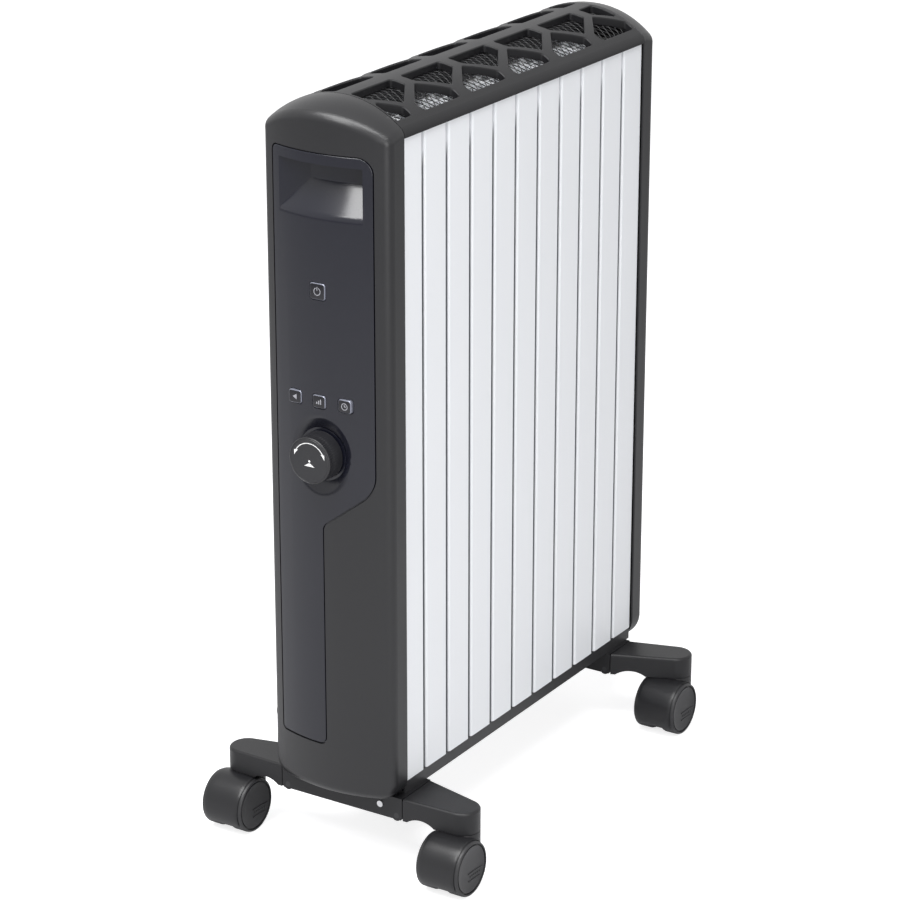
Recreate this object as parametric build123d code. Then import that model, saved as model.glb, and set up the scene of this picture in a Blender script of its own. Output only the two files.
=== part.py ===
from build123d import *
import os
from math import acos, atan2, cos, degrees, sin, sqrt

# A portable panel heater on folding caster feet. Millimetres, +Z up, controls facing -Y,
# X to the right as seen from the controls, origin under the middle of the bounding box.

# Heights, stacked from the floor
neck_stand = 0.4
foot_thickness = 20.0
rail_height = 11.6
slat_length = 555.0
eave_rise = 5.12
housing_gap = 0.2

# Depths, stacked from the knob to the back
knob_proud = 15.0
front_depth = 35.0
trim_gap = 0.3
trim_reach = 30.4
module_count = 10
module_pitch = 35.5
slat_gap = 3.8
rear_gap = 0.4
rear_depth = 23.0

# End housings
housing_half_width = 60.4
housing_wall = 1.8
crown_radius = 90.0
shoulder_radius = 10.0
front_bulge_radius = 127.2
rear_bulge_radius = 600.0
front_dome_radius = 65.0
rear_dome_radius = 60.0
front_edge_radius = 9.0
rear_edge_radius = 8.5
front_corner_radius = 15.0
rear_corner_radius = 24.0
rear_skirt = 4.5
seam_edge_radius = 0.6
boss_radius = 4.0
boss_spread = 40.0
boss_inset = 17.0
boss_margin = 0.6
slat_step = 2.0

# Glossy control panel; drops are measured down from the crest, rises up from the housing's lower edge
panel_half_width = 47.3
panel_bottom_rise = 45.8
panel_top_drop = 41.0
panel_bend_drop = 318.0
panel_tail_drop = 353.0
panel_tail_edge = 1.8
panel_top_left_radius = 5.0
panel_top_right_radius = 13.0
panel_bend_radius = 26.0
panel_notch_radius = 8.0
panel_tail_radius = 6.0
panel_bottom_left_radius = 4.0
panel_wall = 2.4
panel_groove = 1.1
panel_edge_radius = 0.8
flange_reach = 3.5
flange_lap = 3.0
flange_wall = 1.5
flange_gap = 0.05

# Hand recess in the panel
grip_half_width = 39.7
grip_left_draft = 20.0
grip_front_drop = 91.5
grip_back_drop = 66.5
grip_top_drop = 49.5
grip_depth = 17.0
grip_wall = 1.8
grip_roll_radius = 10.0

# Keys, knob and what they press on
key_proud = 0.6
key_gap = 0.35
key_depth = 4.2
key_flange_reach = 1.2
key_flange_wall = 1.2
key_flange_gap = 0.3
key_corner_radius = 2.5
key_hole_edge_radius = 0.4
key_travel = 0.8
key_clearance = 0.3
key_stem_radius = 2.0
power_key_size = (15.0, 14.0)
row_key_size = (12.8, 11.4)
power_key_drop = 153.5
row_key_drop = 246.2
row_key_spacing = 24.0
knob_drop = 292.2
knob_radius = 20.3
knob_taper = 0.6
knob_edge_radius = 1.2
knob_float = 1.5
knob_travel = 1.0
knob_wall = 2.5
knob_skirt_depth = 9.0
dish_gap = 2.3
dish_flare = 10.5
dish_edge_radius = 8.0
dish_depth = 4.4
shaft_radius = 3.0
shaft_bite = 6.5
sleeve_wall = 1.2
sleeve_recess = 0.5
sleeve_floor = 0.5
shaft_end_gap = 0.3
running_clearance = 0.05
shaft_hole_clearance = 0.6
encoder_size = 14.0
encoder_gap = 1.0
encoder_floor = 1.0
board_setback = 20.0
board_thickness = 1.6
board_half_width = 38.0
board_bottom_drop = 319.0
board_top_drop = 133.0
post_radius = 3.0
post_inset = 5.0
switch_size = 6.0
switch_height = 4.0
display_half_width = 27.0
display_bottom_drop = 227.0
display_top_drop = 173.0
display_depth = 8.0

# Power electronics and sensing in the control compartment
power_board_half_width = 34.0
power_board_bottom_rise = 79.8
power_board_top_rise = 219.8
power_board_setback = 34.0
relay_size = (16.0, 18.0, 28.0)
relay_spacing = 22.0
sensor_radius = 2.5
sensor_length = 16.0
tip_switch_size = (18.0, 14.0, 24.0)
gland_bore_radius = 3.4
gland_body_radius = 4.7
gland_flange_radius = 5.8
gland_flange_wall = 3.0
gland_inside_length = 9.0
gland_gap = 0.2
gland_rise = 51.8
gland_setback = 8.0

# Aluminium modules and what clamps them
slat_wall = 1.6
slat_return = 10.0
slat_corner_radius = 2.0
web_wall = 1.8
fin_wall = 1.3
fin_reach = 13.0
fin_places = (16.0, 28.0, 40.0)
core_radius = 9.5
core_slot = (14.0, 4.4)
element_side_gap = 0.2
element_overhang = 4.0
rod_radius = 2.5
rod_clearance = 0.3
rod_spread = 22.0
rod_inset = 32.0
nut_radius = 4.6
nut_height = 4.0
plate_wall = 1.2
plate_lap = 1.6
cutout_radius = 5.0
cutout_height = 5.0
cutout_x = 34.0
cutout_modules = (3, 8)

# Top grille and the mesh under it
grille_wall = 6.0
grille_side_wall = 2.4
grille_end_gap = 0.3
spine_half_width = 7.5
lattice_pitch = 71.0
inner_opening_start = 32.0
inner_opening_length = 57.0
inner_opening_shoulder = 21.0
inner_opening_tip = 38.5
outer_opening_start = -1.5
outer_opening_length = 54.0
outer_opening_base = 50.0
outer_opening_shoulder = 42.5
outer_opening_tip = 24.5
opening_corner_radius = 3.0
opening_edge_radius = 1.2
lattice_margin = 3.0
mesh_wall = 0.8
mesh_gap = 0.05
mesh_hole = (10.5, 5.4)
mesh_pitch = (14.0, 8.0)
mesh_margin = 3.0

# Base rails and wiring
rail_width = 12.0
rail_inset = 1.2
rail_wall = 1.5
rail_end_gap = 0.4
wire_radius = 2.2
wire_spread = 14.0
wire_bend_radius = 10.0
wire_top_rise = 94.8
wire_setback = 14.0

# Feet, folding arms and casters
front_foot_lead = 10.5
front_foot_depth = 44.5
rear_foot_lead = -5.0
rear_foot_depth = 37.5
split_overhang = 0.6
split_gap = 0.8
foot_wall = 3.0
foot_pocket_inset = 15.0
pivot_inset = 5.5
pivot_lift = 3.5
pivot_radius = 2.5
knuckle_radius = 4.5
lug_radius = 4.8
lug_length = 8.0
lug_gap = 0.3
notch_reach = 7.2
notch_clearance = 0.6
arm_reach = 49.0
stem_setback = 6.5
tip_radius = 15.5
arm_edge_radius = 2.5
arch_inset = 5.0
arch_length = 26.0
arch_rise = 4.5
stem_radius = 4.0
stem_bite_arm = 14.0
stem_bite_hood = 13.0
neck_gap = 0.5
wheel_radius = 24.0
wheel_trail = 17.0
wheel_width = 14.8
wheel_edge_radius = 2.0
wheel_dish_radius = 20.0
wheel_dish_depth = 2.2
hood_clearance = 0.5
hood_wall = 1.1
hood_edge_radius = 0.9
hood_half_width = 17.5
hood_lip_height = 9.5
web_half_width = 5.0
wheel_side_gap = 0.6
axle_radius = 3.0

# Screws
screw_radius = 1.8
screw_head_radius = 3.4
screw_head_height = 2.2
screw_length = 13.0
screw_hole_clearance = 0.3
rear_screw_spread = 40.0
rear_screw_inset = 45.0
foot_screw_x = 39.5
foot_screw_drop = 9.3
foot_screw_head_radius = 2.8

# Levels worked out from the heights
hood_radius = wheel_radius + hood_clearance + hood_wall
foot_bottom = wheel_radius + hood_radius + neck_stand
foot_top = foot_bottom + foot_thickness
rail_top = foot_top + rail_height
slat_top = rail_top + slat_length
crown_rise = eave_rise + crown_radius - sqrt(crown_radius**2 - housing_half_width**2)
crest = slat_top + crown_rise
housing_bottom = foot_top + housing_gap
panel_bottom = housing_bottom + panel_bottom_rise
panel_top = crest - panel_top_drop
panel_bend_z = crest - panel_bend_drop
panel_tail_top = crest - panel_tail_drop
grip_front_low = crest - grip_front_drop
grip_back_low = crest - grip_back_drop
grip_top = crest - grip_top_drop
power_key_z = crest - power_key_drop
row_key_z = crest - row_key_drop
knob_z = crest - knob_drop
board_bottom = crest - board_bottom_drop
board_top = crest - board_top_drop
display_bottom = crest - display_bottom_drop
display_top = crest - display_top_drop
power_board_bottom = housing_bottom + power_board_bottom_rise
power_board_top = housing_bottom + power_board_top_rise
gland_z = housing_bottom + gland_rise
wire_top = housing_bottom + wire_top_rise

# Stations along Y worked out from the depths
field_length = trim_reach + module_count * module_pitch - slat_gap / 2 + rear_gap
overall_depth = knob_proud + front_depth + field_length + rear_depth
knob_face = -overall_depth / 2
panel_face = knob_face + knob_proud
front_seam = panel_face + front_depth
rear_seam = front_seam + field_length
back_face = rear_seam + rear_depth
stack_start = front_seam + trim_reach
bulkhead = stack_start - slat_gap / 2
stack_end = stack_start + module_count * module_pitch - slat_gap / 2
bulge_axis = panel_face + front_bulge_radius
board_face = panel_face + board_setback
dish_floor = panel_face + dish_depth

# Widths and radii that follow from others
slat_half_width = housing_half_width - slat_step
plate_half_width = slat_half_width - slat_return + plate_lap
dish_floor_radius = knob_radius + dish_gap
dish_radius = dish_floor_radius + dish_flare
foot_split = housing_half_width + split_overhang
stem_offset = foot_split + arm_reach
pivot_x = foot_split - pivot_inset
pivot_z = foot_bottom + pivot_lift

# Reach of shapes that only cut, overrun of a cut, and what counts as lying on a surface
far = 1000.0
over = 1.0
near = 0.01


def rod_x(radius, x0, x1, y, z):
    return Pos((x0 + x1) / 2, y, z) * Rot(0, 90, 0) * Cylinder(radius, abs(x1 - x0))


def rod_y(radius, y0, y1, x, z):
    return Pos(x, (y0 + y1) / 2, z) * Rot(90, 0, 0) * Cylinder(radius, abs(y1 - y0))


def rod_z(radius, z0, z1, x, y):
    return Pos(x, y, (z0 + z1) / 2) * Cylinder(radius, abs(z1 - z0))


def slab(x0, x1, y0, y1, z0, z1):
    middle = Pos((x0 + x1) / 2, (y0 + y1) / 2, (z0 + z1) / 2)
    return middle * Box(abs(x1 - x0), abs(y1 - y0), abs(z1 - z0))


def group(pieces):
    return Compound([solid for piece in pieces for solid in piece.solids()])


def rounded(face, corners):
    # Rounds the corner of a flat outline nearest to each (x, y, radius)
    for x, y, radius in corners:
        nearest = face.vertices().sort_by_distance((x, y, 0))[0]
        face = fillet(nearest, radius)
    return face


# Arched end outline shared by the two housings and the top grille
def arched_outline(half_width, top, bottom, crown, shoulder, foot_radius):
    eave = top - crown + sqrt(crown**2 - half_width**2)
    sides = Polyline((-half_width, eave), (-half_width, bottom), (half_width, bottom), (half_width, eave))
    roof = ThreePointArc((half_width, eave), (0, top), (-half_width, eave))
    face = make_face([*sides.edges(), roof])
    corners = [(-half_width, eave, shoulder), (half_width, eave, shoulder)]
    if foot_radius > 0:
        corners += [(-half_width, bottom, foot_radius), (half_width, bottom, foot_radius)]
    return rounded(face, corners)


# Solid end block, seam at y = 0 and outer face towards -Y, with a crowned face and a domed top
def end_block(inset, depth, bottom, corner_radius, bulge, dome, edge_radius):
    half_width = housing_half_width - inset
    reach = depth - inset
    radius = bulge - inset
    outline = arched_outline(
        half_width, crest - inset, bottom + inset, crown_radius - inset,
        shoulder_radius - inset, corner_radius - inset)
    hip = crest - dome
    upper = outline & (Pos(0, hip + far / 2) * Rectangle(far, far))
    lower = outline & (Pos(0, hip - far / 2) * Rectangle(far, far))
    body = extrude(Plane.XZ * lower, amount=dome)
    body += revolve(Plane.XZ * upper, axis=Axis((0, 0, hip), (1, 0, 0)), revolution_arc=90)
    body &= Pos(0, radius - reach, crest / 2) * Cylinder(radius, 2 * crest)
    centre = Vector(0, radius - reach)

    def on_face(edge):
        spots = [edge.position_at(t) for t in (0.0, 0.3, 0.5, 1.0)]
        return all(abs((Vector(p.X, p.Y) - centre).length - radius) < near and p.Y < 0 for p in spots)

    rim = [edge for edge in body.edges() if on_face(edge)]
    body = fillet(rim, edge_radius - inset)
    seam = body.faces().sort_by(Axis.Y)[-1].edges()
    return body if inset else fillet(seam, seam_edge_radius)


def front_block(inset):
    block = end_block(inset, front_depth, housing_bottom, front_corner_radius, front_bulge_radius,
                      front_dome_radius, front_edge_radius)
    return Pos(0, front_seam, 0) * block


def rear_block(inset):
    block = end_block(inset, rear_depth, housing_bottom - rear_skirt, rear_corner_radius,
                      rear_bulge_radius, rear_dome_radius, rear_edge_radius)
    return Pos(0, rear_seam, 0) * Rot(0, 0, 180) * block


# Upright cylinder that the crowned panel face lies on, moved inwards by an inset
def bulge(inset):
    return Pos(0, bulge_axis, crest / 2) * Cylinder(front_bulge_radius - inset, 2 * crest)


def panel_outline(growth):
    face = make_face(Polyline(
        (-panel_half_width, panel_top), (panel_half_width, panel_top), (panel_half_width, panel_bend_z),
        (panel_tail_edge, panel_tail_top), (panel_tail_edge, panel_bottom),
        (-panel_half_width, panel_bottom), (-panel_half_width, panel_top)))
    face = rounded(face, [
        (-panel_half_width, panel_top, panel_top_left_radius),
        (panel_half_width, panel_top, panel_top_right_radius),
        (panel_half_width, panel_bend_z, panel_bend_radius),
        (panel_tail_edge, panel_tail_top, panel_notch_radius),
        (panel_tail_edge, panel_bottom, panel_tail_radius),
        (-panel_half_width, panel_bottom, panel_bottom_left_radius)])
    return offset(face, amount=growth) if growth else face


def panel_prism(growth):
    return extrude(Plane.XZ.offset(-front_seam) * panel_outline(growth), amount=2 * front_depth)


# Places of the keys: name, x, z, width, height
keys = [
    ("power_button", 0.0, power_key_z, *power_key_size),
    ("mode_button", -row_key_spacing, row_key_z, *row_key_size),
    ("level_button", 0.0, row_key_z, *row_key_size),
    ("timer_button", row_key_spacing, row_key_z, *row_key_size),
]
switch_face = board_face - switch_height
boss_places = [
    (side * boss_spread, level)
    for side in (-1, 1)
    for level in (housing_bottom + boss_inset + boss_radius, slat_top - boss_radius - boss_margin)
]
post_places = [
    (side * (board_half_width - post_inset), level)
    for side in (-1, 1)
    for level in (board_bottom + post_inset, board_top - post_inset)
]
rod_places = [
    (side * rod_spread, level)
    for side in (-1, 1)
    for level in (rail_top + rod_inset, slat_top - rod_inset)
]
rear_screw_places = [
    (side * rear_screw_spread, level)
    for side in (-1, 1)
    for level in (rail_top + rear_screw_inset, slat_top - rear_screw_inset)
]
nodes = {}


# Front housing: one moulded shell, open at the back, with a cut-out for the control panel
def make_front_housing():
    shell = front_block(0) - front_block(housing_wall)
    shell -= panel_prism(panel_groove)
    inside = front_block(housing_wall / 2)
    for x, z in boss_places:
        boss = rod_y(boss_radius, front_seam - 2 * front_depth, front_seam, x, z) & inside
        boss += rod_y(boss_radius, front_seam - over, bulkhead, x, z)
        boss -= rod_y(screw_radius, bulkhead - screw_length, bulkhead + over, x, z)
        shell += boss
    hole = gland_body_radius + gland_gap
    shell -= rod_x(hole, -housing_half_width - over, -boss_spread, front_seam - gland_setback, gland_z)
    return shell


# Key-shaped prism through the panel, grown by a clearance
def key_prism(key, growth):
    name, x, z, width, height = key
    outline = RectangleRounded(width + 2 * growth, height + 2 * growth, key_corner_radius + growth)
    return extrude(Plane.XZ.offset(-board_face) * Pos(x, z) * outline, amount=2 * front_depth)


# Whether an edge lies on the panel's crowned face
def on_crown(edge):
    spots = [edge.position_at(t) for t in (0.0, 0.3, 0.5, 1.0)]
    return all(abs(Vector(p.X, p.Y - bulge_axis).length - front_bulge_radius) < near for p in spots)


# Hand recess that follows the crown: a ramp, a back wall and a drafted left side, grown by a wall
def grip_space(growth):
    slope = (grip_back_low - grip_front_low) / grip_depth
    drop = growth * sqrt(1 + slope**2)
    mouth, back = front_bulge_radius + over, front_bulge_radius - grip_depth - growth
    top = grip_top + growth
    profile = make_face(Polyline(
        (mouth, grip_front_low - slope * over - drop), (back, grip_back_low + slope * growth - drop),
        (back, top), (mouth, top), (mouth, grip_front_low - slope * over - drop)))
    ring = Pos(0, bulge_axis, 0) * revolve(Plane.XZ * profile, axis=Axis.Z)
    face_y = bulge_axis - sqrt(front_bulge_radius**2 - grip_half_width**2)
    draft = grip_left_draft / (panel_face + grip_depth - face_y)
    y0, y1 = panel_face - over, front_seam
    left0, left1 = (-grip_half_width + draft * (y - face_y) - growth * sqrt(1 + draft**2) for y in (y0, y1))
    right = grip_half_width + growth
    plan = make_face(Polyline((left0, y0), (right, y0), (right, y1), (left1, y1), (left0, y0)))
    return ring & extrude(plan, amount=2 * crest)


# Control panel: crowned skin with a rear flange, hand recess, knob dish, board posts and key holes
def make_front_panel():
    skin = panel_prism(0) & (bulge(0) - bulge(panel_wall))
    skin = fillet([edge for edge in skin.edges() if on_crown(edge)], panel_edge_radius)
    flange_in = housing_wall + flange_gap
    rim = panel_prism(flange_reach) - panel_prism(-flange_lap)
    skin += rim & (bulge(flange_in) - bulge(flange_in + flange_wall))
    skin += grip_space(grip_wall) & bulge(panel_wall / 2)
    skin -= grip_space(0)
    lip = [e for e in skin.edges() if on_crown(e) and abs(e.center().Z - grip_front_low) < near]
    skin = fillet(lip, grip_roll_radius)
    seat = rod_y(dish_radius + panel_wall, panel_face, dish_floor + panel_wall, 0, knob_z)
    skin += seat & bulge(panel_wall / 2)
    flare = (dish_radius - dish_floor_radius) / dish_depth
    cone = Cone(dish_floor_radius, dish_radius + flare, dish_depth + over,
                align=(Align.CENTER, Align.CENTER, Align.MIN))
    skin -= Pos(0, dish_floor, knob_z) * Rot(90, 0, 0) * cone
    dish_rim = [e for e in skin.edges() if on_crown(e) and e.center().Z < knob_z + dish_radius
                and e.bounding_box().max.Z > knob_z and abs(e.center().X) < dish_radius]
    skin = fillet(dish_rim, dish_edge_radius)
    skin -= rod_y(shaft_radius + shaft_hole_clearance, panel_face, board_face, 0, knob_z)
    for x, z in post_places:
        post = rod_y(post_radius, panel_face, board_face, x, z) & bulge(panel_wall / 2)
        skin += post - rod_y(screw_radius, board_face - screw_length / 2, board_face + over, x, z)
    for key in keys:
        skin -= key_prism(key, key_gap)
    key_rims = [e for e in skin.edges() if on_crown(e) and e.length < max(power_key_size)
                and power_key_z + power_key_size[1] > e.center().Z > row_key_z - row_key_size[1]]
    return fillet(key_rims, key_hole_edge_radius)


# A key: a cap level with the panel's crown, a retaining flange behind the panel and a stem
def make_key(key):
    name, x, z, width, height = key
    cap = key_prism(key, 0) & (bulge(-key_proud) - bulge(key_depth))
    flange_in = panel_wall + key_flange_gap
    cap += key_prism(key, key_flange_reach) & (bulge(flange_in) - bulge(flange_in + key_flange_wall))
    tail = switch_face - key_travel - key_clearance
    stem = rod_y(key_stem_radius, panel_face, tail, x, z) & bulge(key_depth / 2)
    return cap + stem


# Rotary and push encoder: fixed body, sliding sleeve, turning shaft and the knob
encoder_face = dish_floor + panel_wall + encoder_gap
sleeve_radius = shaft_radius + running_clearance + sleeve_wall
sleeve_front = encoder_face + sleeve_recess
sleeve_back = board_face - encoder_floor - knob_travel - key_clearance


def make_encoder_body():
    half = encoder_size / 2
    body = slab(-half, half, encoder_face, board_face, knob_z - half, knob_z + half)
    bore = sleeve_radius + running_clearance
    return body - rod_y(bore, encoder_face - over, board_face - encoder_floor, 0, knob_z)


def make_encoder_sleeve():
    sleeve = rod_y(sleeve_radius, sleeve_front, sleeve_back, 0, knob_z)
    bore = shaft_radius + running_clearance
    return sleeve - rod_y(bore, sleeve_front - over, sleeve_back - sleeve_floor, 0, knob_z)


def make_encoder_shaft():
    tail = sleeve_back - sleeve_floor - shaft_end_gap
    return rod_y(shaft_radius, knob_face + shaft_bite, tail, 0, knob_z)


def make_control_knob():
    base = dish_floor - knob_float
    length = base - knob_face
    profile = make_face(Polyline(
        (0, 0), (knob_radius, 0), (knob_radius - knob_taper, length), (0, length), (0, 0)))
    profile = rounded(profile, [(knob_radius - knob_taper, length, knob_edge_radius)])
    knob = revolve(Plane.XZ * profile, axis=Axis.Z)
    knob = Pos(0, base, knob_z) * Rot(90, 0, 0) * knob
    hollow = rod_y(knob_radius - knob_wall, base - knob_skirt_depth, base, 0, knob_z)
    knob -= hollow - rod_y(2 * shaft_radius, base - knob_skirt_depth, base, 0, knob_z)
    return knob - rod_y(shaft_radius, knob_face + shaft_bite, base + over, 0, knob_z)


# Control board with its display and key switches
def make_control_board():
    board = slab(-board_half_width, board_half_width, board_face, board_face + board_thickness,
                 board_bottom, board_top)
    for x, z in post_places:
        hole = screw_radius + screw_hole_clearance
        board -= rod_y(hole, board_face - over, board_face + board_thickness + over, x, z)
    return board


def make_display_module():
    return slab(-display_half_width, display_half_width, board_face - display_depth, board_face,
                display_bottom, display_top)


def make_button_switches():
    half = switch_size / 2
    return group([slab(x - half, x + half, switch_face, board_face, z - half, z + half)
                  for name, x, z, width, height in keys])


# Power board with two relays, a room sensor and a tip-over switch beside it
power_face = panel_face + power_board_setback


def make_power_board():
    board = slab(-power_board_half_width, power_board_half_width, power_face,
                 power_face + board_thickness, power_board_bottom, power_board_top)
    wide, deep, tall = relay_size
    relays = [slab(side * relay_spacing / 2 - wide / 2, side * relay_spacing / 2 + wide / 2,
                   power_face - deep, power_face, power_board_top - tall - post_inset,
                   power_board_top - post_inset) for side in (-1, 1)]
    legs = [slab(side * power_board_half_width - side * post_inset, side * power_board_half_width,
                 power_face + board_thickness, bulkhead, level - post_inset, level + post_inset)
            for side in (-1, 1) for level in (power_board_bottom + 3 * post_inset,
                                              power_board_top - 3 * post_inset)]
    return group([board, *relays, *legs])


def make_room_sensor():
    low = housing_bottom + housing_wall
    return rod_z(sensor_radius, low, low + sensor_length, boss_spread / 2, front_seam - gland_setback)


def make_tip_over_switch():
    wide, deep, tall = tip_switch_size
    low = housing_bottom + housing_wall
    return slab(-wide / 2, wide / 2, front_seam - gland_setback - deep / 2,
                front_seam - gland_setback + deep / 2, low, low + tall)


# Cable gland on the left side of the front housing
gland_outer = -housing_half_width - gland_flange_wall
gland_inner = -housing_half_width + gland_inside_length


def make_cord_gland():
    y = front_seam - gland_setback
    gland = rod_x(gland_flange_radius, gland_outer, -housing_half_width, y, gland_z)
    gland += rod_x(gland_body_radius, -housing_half_width, gland_inner, y, gland_z)
    return gland - rod_x(gland_bore_radius, gland_outer - over, gland_inner + over, y, gland_z)


# Rear housing: a shallow moulded shell held by screws into the rear end plate
def make_rear_housing():
    shell = rear_block(0) - rear_block(housing_wall)
    inside = rear_block(housing_wall / 2)
    for x, z in rear_screw_places:
        boss = rod_y(boss_radius, plate_back, back_face, x, z) & inside
        shell += boss
        shell -= rod_y(screw_radius, plate_back - over, back_face + over, x, z)
        shell -= rod_y(screw_head_radius + screw_hole_clearance, rear_head_seat, back_face + over, x, z)
    return shell


# End plates and the tie rods that clamp the modules between them
plate_front = stack_end
plate_back = stack_end + plate_wall
rear_rim = rear_screw_spread + screw_head_radius
rear_crown_dip = rear_bulge_radius - sqrt(rear_bulge_radius**2 - rear_rim**2)
rear_head_seat = back_face - rear_crown_dip - screw_head_height


def pierced_plate(y0, places, radius):
    plate = slab(-plate_half_width, plate_half_width, y0, y0 + plate_wall, rail_top, slat_top)
    for x, z in places:
        plate -= rod_y(radius, y0 - over, y0 + plate_wall + over, x, z)
    for x, z in rod_places:
        plate -= rod_y(rod_radius + rod_clearance, y0 - over, y0 + plate_wall + over, x, z)
    return plate


def make_tie_rods():
    return group([rod_y(rod_radius, bulkhead - nut_height, plate_back + nut_height, x, z)
                  for x, z in rod_places])


def make_tie_rod_nuts():
    nuts = []
    for x, z in rod_places:
        for y0 in (bulkhead - nut_height, plate_back):
            hexagon = RegularPolygon(nut_radius, 6) - Circle(rod_radius)
            nuts.append(Pos(x, y0 + nut_height, z) * extrude(Plane.XZ * hexagon, amount=nut_height))
    return group(nuts)


# Aluminium side slat: an outer face with rounded edges and two inward returns
def slat_channel(side, y0, y1):
    outer = side * slat_half_width
    inner = side * (slat_half_width - slat_return)
    face = Pos((outer + inner) / 2, (y0 + y1) / 2) * Rectangle(slat_return, y1 - y0)
    face = rounded(face, [(outer, y0, slat_corner_radius), (outer, y1, slat_corner_radius)])
    hollow = Pos((outer + inner) / 2 - side * slat_wall, (y0 + y1) / 2)
    return face - hollow * Rectangle(slat_return, y1 - y0 - 2 * slat_wall)


def make_front_trim_slats():
    return group([Pos(0, 0, rail_top) * extrude(
        slat_channel(side, front_seam + trim_gap, bulkhead), amount=slat_length) for side in (-1, 1)])


# Heating module: one extruded profile of two slats, a web, cooling fins and a core for the element
def make_heating_module():
    half_depth = (module_pitch - slat_gap) / 2
    profile = Rectangle(2 * (slat_half_width - slat_wall / 2), web_wall)
    for side in (-1, 1):
        profile += slat_channel(side, -half_depth, half_depth)
        for place in fin_places:
            profile += Pos(side * place, 0) * Rectangle(fin_wall, 2 * fin_reach)
    profile += Circle(core_radius)
    profile -= Rectangle(*core_slot)
    module = extrude(profile, amount=slat_length)
    for x, z in rod_places:
        module -= rod_y(rod_radius + rod_clearance, -web_wall, web_wall, x, z - rail_top)
    return module


def module_y(index):
    return stack_start + (index + 0.5) * module_pitch


def make_heating_elements():
    wide, deep = core_slot
    strip = Box(wide - 2 * element_side_gap, deep, slat_length,
                align=(Align.CENTER, Align.CENTER, Align.MIN))
    return group([Pos(0, module_y(i), rail_top - element_overhang) * strip for i in range(module_count)])


def make_thermal_cutouts():
    level = slat_top - 2 * rod_inset
    discs = []
    for number in cutout_modules:
        web_face = module_y(number - 1) - web_wall / 2
        discs.append(rod_y(cutout_radius, web_face - cutout_height, web_face, cutout_x, level))
    return group(discs)


# Top grille: an arched cover with a lattice of five-sided openings on both sides of a spine
def lattice_openings():
    def five_sided(base, shoulder, tip, length):
        half = length / 2
        return make_face(Polyline((base, -half), (shoulder, -half), (tip, 0), (shoulder, half),
                                  (base, half), (base, -half)))

    inner = five_sided(spine_half_width, inner_opening_shoulder, inner_opening_tip, inner_opening_length)
    outer = five_sided(outer_opening_base, outer_opening_shoulder, outer_opening_tip, outer_opening_length)
    window = Pos(0, (front_seam + rear_seam) / 2) * Rectangle(far, field_length - 2 * lattice_margin)
    faces = []
    count = int(field_length / lattice_pitch) + 2
    for k in range(-1, count):
        for shape, start in ((inner, inner_opening_start), (outer, outer_opening_start)):
            cut = (Pos(0, front_seam + start + k * lattice_pitch) * shape) & window
            if cut.area > opening_corner_radius * inner_opening_length:
                right = fillet(cut.vertices(), opening_corner_radius)
                faces += [right, mirror(right, about=Plane.YZ)]
    return faces


def make_top_grille():
    outside = arched_outline(housing_half_width, crest, slat_top, crown_radius, shoulder_radius, 0)
    inside = arched_outline(
        housing_half_width - grille_side_wall, crest - grille_wall, rail_top,
        crown_radius - grille_wall, shoulder_radius - grille_side_wall, 0)
    band = Plane.XZ.offset(-rear_seam + grille_end_gap) * (outside - inside)
    cover = extrude(band, amount=field_length - 2 * grille_end_gap)
    cuts = [Pos(0, 0, slat_top) * extrude(face, amount=2 * crown_rise) for face in lattice_openings()]
    cover -= cuts

    def is_opening_rim(edge):
        spots = [edge.position_at(t) for t in (0.0, 0.25, 0.5, 0.75, 1.0)]
        axis = crest - crown_radius
        on_roof = all(abs(Vector(p.X, p.Z - axis).length - crown_radius) < near for p in spots)
        inboard = front_seam + lattice_margin / 2 < spots[2].Y < rear_seam - lattice_margin / 2
        return on_roof and inboard and abs(spots[2].X) < outer_opening_base + over / 2

    return fillet([edge for edge in cover.edges() if is_opening_rim(edge)], opening_edge_radius)


# Mesh under the grille: two sloping flat sheets with rows of diamond holes
def make_top_mesh():
    ceiling_radius = crown_radius - grille_wall
    ceiling_axis = crest - crown_radius
    low_x = outer_opening_base
    high_x = spine_half_width / 2
    low_z = ceiling_axis + sqrt(ceiling_radius**2 - low_x**2) - mesh_gap
    high_z = ceiling_axis + sqrt(ceiling_radius**2 - high_x**2) - mesh_gap
    width = sqrt((low_x - high_x)**2 + (high_z - low_z)**2)
    tilt = atan2(high_z - low_z, low_x - high_x)
    length = field_length - 2 * lattice_margin
    long_half, short_half = mesh_hole[0] / 2, mesh_hole[1] / 2
    columns = int((width - 2 * mesh_margin) / mesh_pitch[0] * 2) - 1
    rows = int((length - 2 * mesh_margin) / mesh_pitch[1]) - 1
    holes = []
    for i in range(columns):
        for j in range(rows):
            u = (i - (columns - 1) / 2) * mesh_pitch[0] / 2
            v = (j - (rows - 1) / 2 + (0.5 if i % 2 else 0.0)) * mesh_pitch[1]
            holes.append(Polyline((u - long_half, v), (u, v - short_half), (u + long_half, v),
                                  (u, v + short_half), (u - long_half, v)).wire())
    sheet = extrude(Face(Rectangle(width, length).wire(), holes), amount=-mesh_wall)
    middle = Pos((low_x + high_x) / 2, (front_seam + rear_seam) / 2, (low_z + high_z) / 2)
    right = middle * Rot(0, degrees(tilt), 0) * sheet
    return group([right, mirror(right, about=Plane.YZ)])


# Base rails: rectangular tubes along both sides that carry the modules
def make_base_rails():
    rails = []
    for side in (-1, 1):
        x0, x1 = sorted(side * (slat_half_width - inset) for inset in (rail_inset, rail_width))
        y0, y1 = front_seam + rail_end_gap, rear_seam - rail_end_gap
        low, high = foot_top + rail_wall, rail_top - rail_wall
        hollow = slab(x0 + rail_wall, x1 - rail_wall, y0 - over, y1 + over, low, high)
        rails.append(slab(x0, x1, y0, y1, foot_top, rail_top) - hollow)
    return group(rails)


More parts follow.
